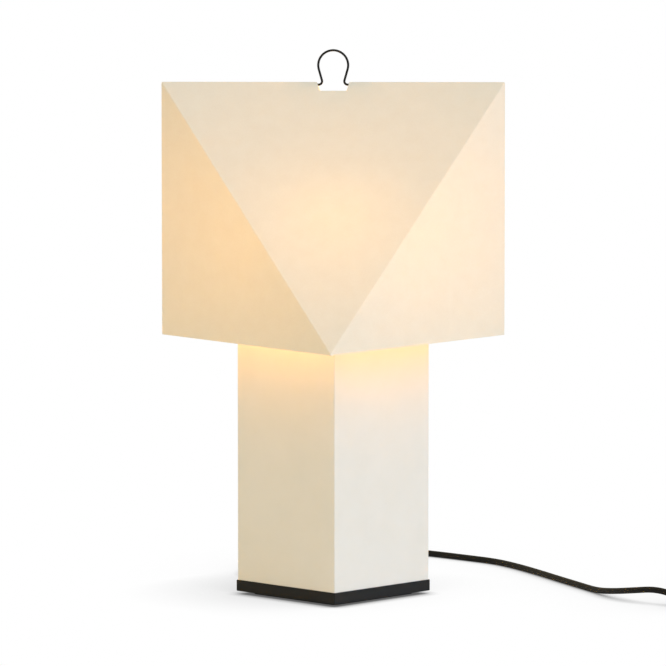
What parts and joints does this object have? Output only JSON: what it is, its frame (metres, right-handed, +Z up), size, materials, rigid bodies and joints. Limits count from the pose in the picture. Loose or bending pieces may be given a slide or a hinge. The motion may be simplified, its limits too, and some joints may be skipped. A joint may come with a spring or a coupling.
{
  "type": "folded paper table lamp",
  "caption": "Table lamp with a folded paper shade hung by its ridge on a wire harp, over a square sheet metal column on a black base plate, with corded switch and plug.",
  "frame": {"origin": "on the table, in the middle of the foot pad, on the axis of the column and the bulb", "axes": "+Z up; the shade's ridge runs along X, turned by 1.6 degrees; a corner of the column and of the shade points along -Y, the side that the picture shows; the cord leaves at the back left and ends at +X"},
  "size_m": [0.6492, 0.4591, 0.5471],
  "materials": {
    "lampshade_paper": "warm white lampshade paper, folded, lit from inside; faint fibres, soft satin surface",
    "cream_powder_coat": "smooth cream powder coat on folded sheet steel, satin",
    "black_powder_coat": "matte black powder coat on steel plate",
    "black_rubber": "matte black rubber foam pad",
    "zinc_steel": "zinc plated steel",
    "black_wire": "drawn steel wire with a thin satin black coat",
    "turned_brass": "turned brass",
    "white_plastic": "white heat resistant plastic",
    "steatite": "unglazed white ceramic",
    "bulb_cap_metal": "rolled nickel plated thread",
    "black_glass": "black insulating glass",
    "opal_globe": "opal globe, lit",
    "board_white": "white lamp board with small yellow chips",
    "black_cord": "round black cord, satin",
    "black_plastic": "black moulded plastic, fine texture",
    "bare_copper": "insulated and bare copper conductors",
    "black_strap": "black hook and loop strap"
  },
  "bodies": {
    "lamp": {"foot_pad": "black_rubber", "base_plate": "black_powder_coat", "base_screws": "zinc_steel", "base_nuts": "zinc_steel", "column_shell": "cream_powder_coat", "top_cap": "cream_powder_coat", "cap_screws": "zinc_steel", "threaded_tube": "turned_brass", "lock_washer": "zinc_steel", "tube_nut": "turned_brass", "holder_dome": "white_plastic", "holder_insert": "steatite", "holder_skirt": "white_plastic", "holder_thread": "turned_brass", "holder_contact": "turned_brass", "inner_lead": "black_cord", "lead_cores": "bare_copper", "harp_saddle": "black_wire", "harp_ferrules": "black_wire", "harp_wire": "black_wire", "cord_gland": "black_plastic", "gland_nut": "black_plastic", "cord_run": "black_cord", "switch_base": "black_plastic", "switch_cover": "black_plastic", "switch_screws": "zinc_steel", "switch_terminals": "turned_brass", "switch_cores": "bare_copper", "cord_link": "black_cord", "cord_coil": "black_cord", "coil_tie": "black_strap", "cord_tail": "black_cord", "plug_body": "black_plastic", "plug_pins": "zinc_steel"},
    "shade": {"paper_shade": "lampshade_paper"},
    "bulb": {"bulb_contact": "zinc_steel", "bulb_insulator": "black_glass", "bulb_screw_base": "bulb_cap_metal", "bulb_housing": "white_plastic", "led_board": "board_white", "bulb_globe": "opal_globe"},
    "rocker": {"switch_rocker": "black_plastic"}
  },
  "joints": [
    {"name": "shade_lift", "type": "slide", "parent": "lamp", "child": "shade", "axis": [0, 0, 1], "range_m": [0, 0.3]},
    {"name": "bulb_turn", "type": "hinge", "parent": "lamp", "child": "bulb", "pos_m": [0, 0, 0.3], "axis": [0, 0, 1], "range_deg": [0, 720]},
    {"name": "switch_press", "type": "hinge", "parent": "lamp", "child": "rocker", "pos_m": [0.3705, -0.108, 0.015], "axis": [-0.5, -0.866, 0], "range_deg": [0, 14]}
  ]
}
